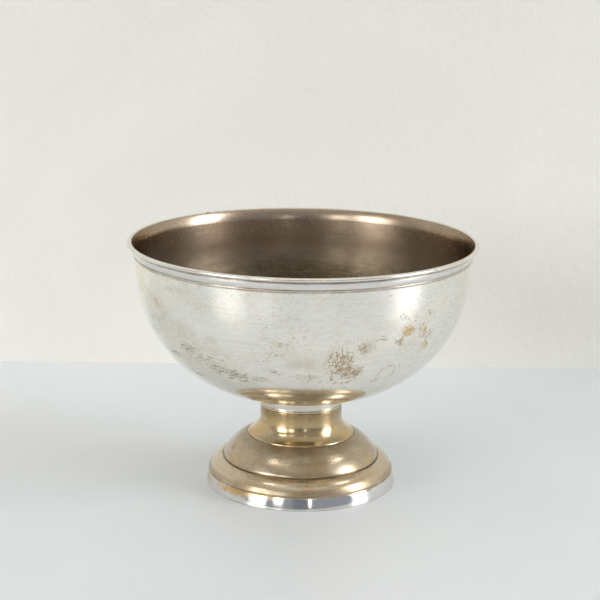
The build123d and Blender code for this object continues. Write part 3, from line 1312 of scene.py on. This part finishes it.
@dataclass
class Foot:
    """The spun foot: collar ring, neck, dome, lower tier and base strap.

    Attributes:
        sheet: Thickness of the sheet.
        collar_bore: Inner radius of the collar ring.
        collar_root: Radius at the collar's lower edge.
        collar_bead_heading: Direction in which the collar's fine bead sets off.
        collar_bead: Round of that bead.
        collar_face_heading: Direction in which the collar's face sets off.
        collar_face: Round of that face.
        neck_radius: Radius of the neck's straight tube.
        neck_flare: Radius of the neck's trumpet flare.
        neck_edge: Radius of the round at the neck's turned-down edge.
        neck_skirt: Straight part of that edge.
        bolt_hole: Radius of the hole in the neck's top plate.
        neck_corner: Radius of the round at the neck's top.
        dome_shelf: Inner radius and width of the dome's shelf.
        dome_shoulder: Shoulder below the shelf.
        dome_side: Radius of the dome.
        tier_shelf: Inner radius and width of the lower tier's shelf.
        tier_shoulder: Shoulder below that shelf.
        tier_side: Round of the lower tier.
        tier_bend: Radius of the tight bend out to the tier's flange.
        strap_bore: Inner radius of the base strap.
        strap_lean: Angle that the foot of the strap's face leans inward by.
        strap_turn: Turn of the slightly rounded face, up to its top.
        strap_edges: Rounds of the strap's bottom and top edges.
        steps: Steps of the spin.
    """

    sheet: float = 1.2
    collar_bore: float = 30.5
    collar_root: float = 35.9
    collar_bead_heading: float = 22.5
    collar_bead: Bend = Bend(0.866, 135.0)
    collar_face_heading: float = 71.9
    collar_face: Bend = Bend(29.2, 20.5)
    neck_radius: float = 35.7
    neck_flare: float = 16.0
    neck_edge: float = 1.4
    neck_skirt: float = 0.3
    bolt_hole: float = 4.5
    neck_corner: float = 1.4
    dome_shelf: tuple[float, float] = (43.0, 3.5)
    dome_shoulder: Bend = Bend(3.0, -22.8)
    dome_side: float = 39.0
    tier_shelf: tuple[float, float] = (65.0, 3.9)
    tier_shoulder: Bend = Bend(3.0, -13.5)
    tier_side: Bend = Bend(14.0, -64.0)
    tier_bend: float = 0.3
    strap_bore: float = 79.4
    strap_lean: float = 11.5
    strap_turn: float = 3.0
    strap_edges: tuple[float, float] = (0.4, 0.3)
    steps: int = 192

    def build(self) -> list[bpy.types.Object]:
        """Makes the five pieces from the top down, and returns them."""
        return [self._collar(), self._neck(), self._dome(), self._tier(), self._strap()]

    def _collar(self) -> bpy.types.Object:
        """Makes the collar ring, with a fine bead under a slightly rounded face.

        Returns:
            The piece.
        """
        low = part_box("collar_ring")[0].z / MM
        top_heading = self.collar_face_heading + self.collar_face.turn
        outline = Outline(self.collar_bore, low, 0.0).draw([
            Straight(self.collar_root - self.collar_bore),
            Corner(self.collar_bead_heading),
            self.collar_bead,
            Corner(self.collar_face_heading - self.collar_bead_heading - self.collar_bead.turn),
            self.collar_face,
            Corner(HALF - top_heading),
        ])
        mesh = outline.back_to(self.collar_bore).spun(self.steps)
        silver = COLLAR_SILVER.build()
        return stand_for("collar_ring", "foot_silver", "collar_ring_turned", mesh, silver)

    def _neck(self) -> bpy.types.Object:
        """Makes the neck, drawn from its turned-down edge up to the bolt hole.

        Returns:
            The piece.
        """
        low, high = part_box("neck")
        edge_radius = high.x / MM
        flare_width = edge_radius - self.neck_edge - self.neck_radius
        share = (self.neck_flare - flare_width) / (self.neck_flare + self.neck_edge)
        turn = math.degrees(math.acos(share))
        rise = self.neck_skirt + (self.neck_edge + self.neck_flare) * math.sin(math.radians(turn))
        outside = [
            Straight(self.neck_skirt),
            Bend(self.neck_edge, turn),
            Bend(self.neck_flare, -turn),
            Straight((high.z - low.z) / MM - rise - self.neck_corner),
            Bend(self.neck_corner, QUARTER),
            Straight(self.neck_radius - self.neck_corner - self.bolt_hole),
        ]
        runs = around_sheet(outside, self.sheet, Side.LEFT, round_end=False)
        mesh = Outline(edge_radius, low.z / MM, QUARTER).draw(runs).close().spun(self.steps)
        return stand_for("neck", "foot_silver", "neck_trumpet", mesh, NECK_SILVER.build())

    def _dome(self) -> bpy.types.Object:
        """Makes the dome, which stands on the shelf of the lower tier.

        Returns:
            The piece.
        """
        low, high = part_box("foot_dome")
        start = math.radians(self.dome_shoulder.turn)
        drop = (high.z - low.z) / MM - self.dome_shoulder.radius * (1.0 - math.cos(start))
        end = math.acos(math.cos(start) - drop / self.dome_side)
        inner, width = self.dome_shelf
        side = Bend(self.dome_side, -math.degrees(end) - self.dome_shoulder.turn)
        outside = [Straight(width), self.dome_shoulder, side]
        runs = around_sheet(outside, self.sheet, Side.RIGHT, round_end=False)
        mesh = Outline(inner, high.z / MM, 0.0).draw(runs).close().spun(self.steps)
        Unevenness(depth=0.12, spacing=30.0, low=low.z / MM, high=high.z / MM, fade=5.0).apply(mesh)
        return stand_for("foot_dome", "foot_silver", "foot_dome_spun", mesh, DOME_SILVER.build())

    def _tier(self) -> bpy.types.Object:
        """Makes the lower tier, with the thin flange that lies on the base strap.

        Returns:
            The piece.
        """
        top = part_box("foot_lower_tier")[1].z / MM
        inner, width = self.tier_shelf
        level = Bend(self.tier_bend, -self.tier_shoulder.turn - self.tier_side.turn)
        outside = [Straight(width), self.tier_shoulder, self.tier_side, level]
        runs = around_sheet(outside, self.sheet, Side.RIGHT, round_end=True)
        mesh = Outline(inner, top, 0.0).draw(runs).close().spun(self.steps)
        return stand_for("foot_lower_tier", "foot_silver", "lower_tier_spun", mesh, TIER_SILVER.build())

    def _strap(self) -> bpy.types.Object:
        """Makes the base strap, with a leaning face and softened edges.

        Returns:
            The piece.
        """
        low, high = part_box("base_strap")
        bottom_edge, top_edge = self.strap_edges
        top_lean = self.strap_lean + self.strap_turn
        rounds = (bottom_edge * (1.0 + math.sin(math.radians(self.strap_lean)))
                  + top_edge * (1.0 - math.sin(math.radians(top_lean))))
        middle_lean = math.radians((self.strap_lean + top_lean) / 2)
        chord = ((high.z - low.z) / MM - rounds) / math.cos(middle_lean)
        outline = Outline(self.strap_bore, low.z / MM, 0.0).draw([
            Straight(high.x / MM - self.strap_bore - bottom_edge),
            Bend(bottom_edge, QUARTER + self.strap_lean),
            Bend(chord / 2 / math.sin(math.radians(self.strap_turn / 2)), self.strap_turn),
            Bend(top_edge, QUARTER - top_lean),
        ])
        mesh = outline.back_to(self.strap_bore).spun(self.steps)
        return stand_for("base_strap", "base_silver", "base_strap_drawn", mesh, STRAP_SILVER.build())


@dataclass
class Fixing:
    """The boss, stud, washer and nut that hold the bowl to the foot, inside the neck.

    Attributes:
        pitch: Pitch of the stud's thread.
        thread_depth: Depth of the thread.
        flats: Width across the nut's flats.
        bore: Radius of the nut's bore, over the stud's thread.
        washer_hole: Radius of the washer's hole.
        edge: Width of the bevelled edges.
        sides: Sides of the nut.
        sharp_angle: Angle in radians over which the nut's edges are bevelled.
        washer_steps: Steps of the washer's spin.
        bore_steps: Steps round the stud and the nut's bore.
    """

    pitch: float = 1.25
    thread_depth: float = 0.65
    flats: float = 13.0
    bore: float = 3.9
    washer_hole: float = 4.3
    edge: float = 0.35
    sides: int = 6
    sharp_angle: float = math.radians(40.0)
    washer_steps: int = 96
    bore_steps: int = 48

    def build(self) -> list[bpy.types.Object]:
        """Makes the visible pieces and dresses the boss.

        Returns:
            All four pieces.
        """
        brass = PlainMetal("fixing_brass", (0.62, 0.46, 0.22), (0.20, 0.14, 0.08), 0.35).build()
        steel = PlainMetal("fixing_steel", (0.56, 0.56, 0.57), (0.22, 0.17, 0.13), 0.32).build()
        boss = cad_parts["fixing_boss"]
        boss.data.materials.clear()
        boss.data.materials.append(brass)
        return [boss, self._washer(brass), self._stud(steel), self._nut(steel)]

    def _washer(self, material: bpy.types.Material) -> bpy.types.Object:
        """Makes the washer, with softened edges.

        Args:
            material: Its finish.

        Returns:
            The piece.
        """
        low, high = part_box("clamp_washer")
        width = high.x / MM - self.washer_hole - 2 * self.edge
        height = (high.z - low.z) / MM - 2 * self.edge
        corner = Bend(self.edge, QUARTER)
        runs = [Straight(width), corner, Straight(height), corner, Straight(width), corner, Straight(height)]
        outline = Outline(self.washer_hole + self.edge, low.z / MM, 0.0).draw(runs).close()
        mesh = outline.spun(self.washer_steps)
        return stand_for("clamp_washer", "fixing_brass", "clamp_washer_disc", mesh, material)

    def _stud(self, material: bpy.types.Material) -> bpy.types.Object:
        """Makes the stud, with a thread of rings and a plain end.

        Args:
            material: Its finish.

        Returns:
            The piece.
        """
        low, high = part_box("fixing_stud")
        root = high.x / MM - self.thread_depth
        slant = math.hypot(self.pitch / 2, self.thread_depth)
        lean = math.degrees(math.atan2(self.thread_depth, self.pitch / 2))
        count = int((high.z - low.z) / MM / self.pitch)
        end = (high.z - low.z) / MM - count * self.pitch
        ring = [Straight(slant), Corner(2 * lean), Straight(slant), Corner(-2 * lean)]
        runs = [Straight(root), Corner(QUARTER - lean), *ring * count]
        runs += [Corner(lean), Straight(end), Corner(QUARTER), Straight(root)]
        mesh = Outline(0.0, low.z / MM, 0.0).draw(runs).spun(self.bore_steps)
        return stand_for("fixing_stud", "fixing_steel", "fixing_stud_threaded", mesh, material)

    def _nut(self, material: bpy.types.Material) -> bpy.types.Object:
        """Makes the hexagon nut, with bevelled edges.

        Args:
            material: Its finish.

        Returns:
            The piece.
        """
        low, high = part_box("clamp_nut")
        half_side = math.radians(HALF / self.sides)
        corner = self.flats / 2 / math.cos(half_side) * MM
        mesh = bmesh.new()
        hexagon = bmesh.ops.create_circle(mesh, segments=self.sides, radius=corner)["verts"]
        bmesh.ops.rotate(mesh, verts=hexagon, matrix=Matrix.Rotation(half_side, 3, "Z"))
        bmesh.ops.create_circle(mesh, segments=self.bore_steps, radius=self.bore * MM)
        ring = bmesh.ops.bridge_loops(mesh, edges=mesh.edges[:])["faces"]
        raised = bmesh.ops.extrude_face_region(mesh, geom=ring)["geom"]
        lifted = [v for v in raised if isinstance(v, bmesh.types.BMVert)]
        bmesh.ops.translate(mesh, verts=lifted, vec=(0.0, 0.0, high.z - low.z))
        bmesh.ops.translate(mesh, verts=mesh.verts[:], vec=(0.0, 0.0, low.z))
        bmesh.ops.recalc_face_normals(mesh, faces=mesh.faces[:])
        sharp = [e for e in mesh.edges if e.is_manifold and e.calc_face_angle() > self.sharp_angle]
        bmesh.ops.bevel(mesh, geom=sharp, offset=self.edge * MM, affect="EDGES", segments=3, profile=0.5,
                        material=-1, clamp_overlap=True)
        return stand_for("clamp_nut", "fixing_steel", "clamp_nut_hexagon", mesh, material)


# The room


@dataclass(frozen=True)
class SoftPatch:
    """A soft-edged window in the room round the bucket.

    Attributes:
        bearing: Place round the bucket in degrees, 0 at the front and 90 at the right.
        elevation: Angle above the table in degrees.
        width: Angle across, to where it has faded out.
        height: Angle from bottom to top.
        light: Colour and brightness of the patch.
        core: Share of the patch with its full strength.
        share: How far it covers what lies behind it.
    """

    bearing: float
    elevation: float
    width: float
    height: float
    light: Colour
    core: float = 0.4
    share: float = 1.0


@dataclass
class Studio:
    """The table, the wall behind it, the lit room and the camera.

    Attributes:
        floor_reach: Distance from the bucket to the edge of the table.
        opening: Radius of the opening in the table, hidden under the foot.
        wall_distance: Distance from the bucket's axis to the wall.
        wall_height: Height of the wall.
        below: Light from below the horizon.
        layers: Light of the horizon, halfway up and the ceiling, each after the upward parts of the
            direction between which it takes over.
        patches: The room's windows.
        eye: Place of the camera in metres.
        pitch: Angle that the camera looks down by.
        roll: Angle that the camera leans by.
        lens: Focal length in millimetres.
        sensor: Width of the camera's sensor in millimetres.
        table_segments: Segments round the table top.
    """

    floor_reach: float = 4.0
    opening: float = 0.078
    wall_distance: float = 0.357
    wall_height: float = 3.0
    below: Colour = (0.33, 0.33, 0.34)
    layers: tuple[tuple[float, float, Colour], ...] = (
        (-0.3, 0.0, (0.30, 0.32, 0.35)),
        (0.1, 0.5, (0.43, 0.415, 0.39)),
        (0.55, 0.95, (1.02, 0.975, 0.91)),
    )
    patches: tuple[SoftPatch, ...] = (
        SoftPatch(-118.0, 20.0, 88.0, 76.0, (1.04, 0.99, 0.90), 0.3),
        SoftPatch(128.0, 20.0, 70.0, 76.0, (0.92, 0.91, 0.91), 0.3),
        SoftPatch(3.0, 4.0, 28.0, 44.0, (0.16, 0.18, 0.21), 0.6, 0.8),
        SoftPatch(-52.0, 14.0, 26.0, 29.0, (7.8, 7.75, 7.6), 0.5),
        SoftPatch(-26.0, 14.0, 14.0, 24.0, (4.2, 4.1, 3.9), 0.5),
        SoftPatch(12.0, 11.0, 4.0, 20.0, (4.4, 4.4, 4.4), 0.4),
        SoftPatch(76.0, 19.0, 27.0, 42.0, (8.6, 8.8, 9.2), 0.45),
    )
    eye: Colour = (-0.00214, -1.329, 0.4895)
    pitch: float = 13.855
    roll: float = 0.75
    lens: float = 95.3
    sensor: float = 36.0
    table_segments: int = 96

    def build(self) -> None:
        """Makes everything round the bucket."""
        for make in (self._table, self._wall, self._room, self._camera):
            make()

    def _table(self) -> None:
        """Makes the painted table top, open under the foot so that light reaches the underside."""
        mesh = bmesh.new()
        for radius in (self.opening, self.floor_reach):
            bmesh.ops.create_circle(mesh, segments=self.table_segments, radius=radius)
        faces = bmesh.ops.bridge_loops(mesh, edges=mesh.edges[:])["faces"]
        bmesh.ops.recalc_face_normals(mesh, faces=faces)
        if faces[0].normal.z < 0.0:
            bmesh.ops.reverse_faces(mesh, faces=faces)
        paint = PaintedSurface("table_paint", (0.72, 0.77, 0.805), (0.77, 0.805, 0.83), 60.0, 0.5, 0.4)
        make_object(mesh, "table_top", [paint.build()])

    def _wall(self) -> None:
        """Makes the plastered wall, which can be seen through from behind."""
        mesh = bmesh.new()
        verts = bmesh.ops.create_grid(mesh, x_segments=1, y_segments=1, size=1.0)["verts"]
        bmesh.ops.scale(mesh, verts=verts, vec=(self.floor_reach, self.wall_height / 2, 1.0))
        bmesh.ops.rotate(mesh, verts=verts, matrix=Matrix.Rotation(math.pi / 2, 3, "X"))
        bmesh.ops.translate(mesh, verts=verts, vec=(0.0, self.wall_distance, self.wall_height / 2))
        plaster = PaintedSurface("wall_plaster", (0.90, 0.885, 0.83), (0.86, 0.845, 0.79), 90.0, 1.5, 0.9)
        make_object(mesh, "wall", [plaster.build()])

    def _room(self) -> None:
        """Lights the scene from a pale room with soft windows."""
        world = bpy.data.worlds.new("room")
        world.use_nodes = True
        bpy.context.scene.world = world
        graph = Graph(world.node_tree)
        direction = graph.nodes.new("ShaderNodeTexCoord").outputs["Generated"]
        rise = graph.parts_of(direction)[2]
        light: Value = self.below
        for low, high, colour in self.layers:
            light = graph.blend(graph.between(rise, low, high), light, colour)
        for patch in self.patches:
            light = graph.blend(self._patch(graph, direction, patch), light, patch.light)
        background = next(n for n in graph.nodes if n.type == "BACKGROUND")
        graph.put(background.inputs["Color"], light)

    def _patch(self, graph: Graph, direction: Socket, patch: SoftPatch) -> Socket:
        """Draws a patch on the room.

        Args:
            graph: The room's nodes.
            direction: Direction seen from the bucket.
            patch: The patch.

        Returns:
            Its strength in that direction.
        """
        turn = (-math.radians(patch.elevation), 0.0, math.radians(patch.bearing))
        inputs = {"Vector": direction, "Rotation": turn}
        turned = graph.node("Mapping", {"vector_type": "TEXTURE"}, inputs)
        across, ahead, up = graph.parts_of(turned.outputs[0])
        strength = graph.maths("LESS_THAN", ahead, 0.0)
        for off, size, full in ((across, patch.width, patch.share), (up, patch.height, 1.0)):
            half = math.sin(math.radians(size / 2))
            fading = graph.between(graph.maths("ABSOLUTE", off), patch.core * half, half, full, 0.0)
            strength = graph.times(strength, fading)
        return strength

    def _camera(self) -> None:
        """Makes the camera at the height and angle of a person standing at the table."""
        data = bpy.data.cameras.new("camera")
        data.sensor_width = self.sensor
        data.lens = self.lens
        camera = bpy.data.objects.new("camera", data)
        camera.matrix_world = (Matrix.Translation(self.eye)
                               @ Matrix.Rotation(math.radians(QUARTER - self.pitch), 4, "X")
                               @ Matrix.Rotation(math.radians(self.roll), 4, "Z"))
        bpy.context.scene.collection.objects.link(camera)
        bpy.context.scene.camera = camera
        bpy.context.scene.view_settings.view_transform = "Standard"


def main() -> None:
    """Builds the bucket from the bowl down, then the room round it."""
    logging.basicConfig(level=logging.INFO, format="%(name)s: %(message)s")
    Studio().build()
    for assembly in (Bowl(), Rim(), Foot(), Fixing()):
        made = assembly.build()
        log.info("%s is finished: %s", type(assembly).__name__, made)


if __name__ == "__main__":
    main()
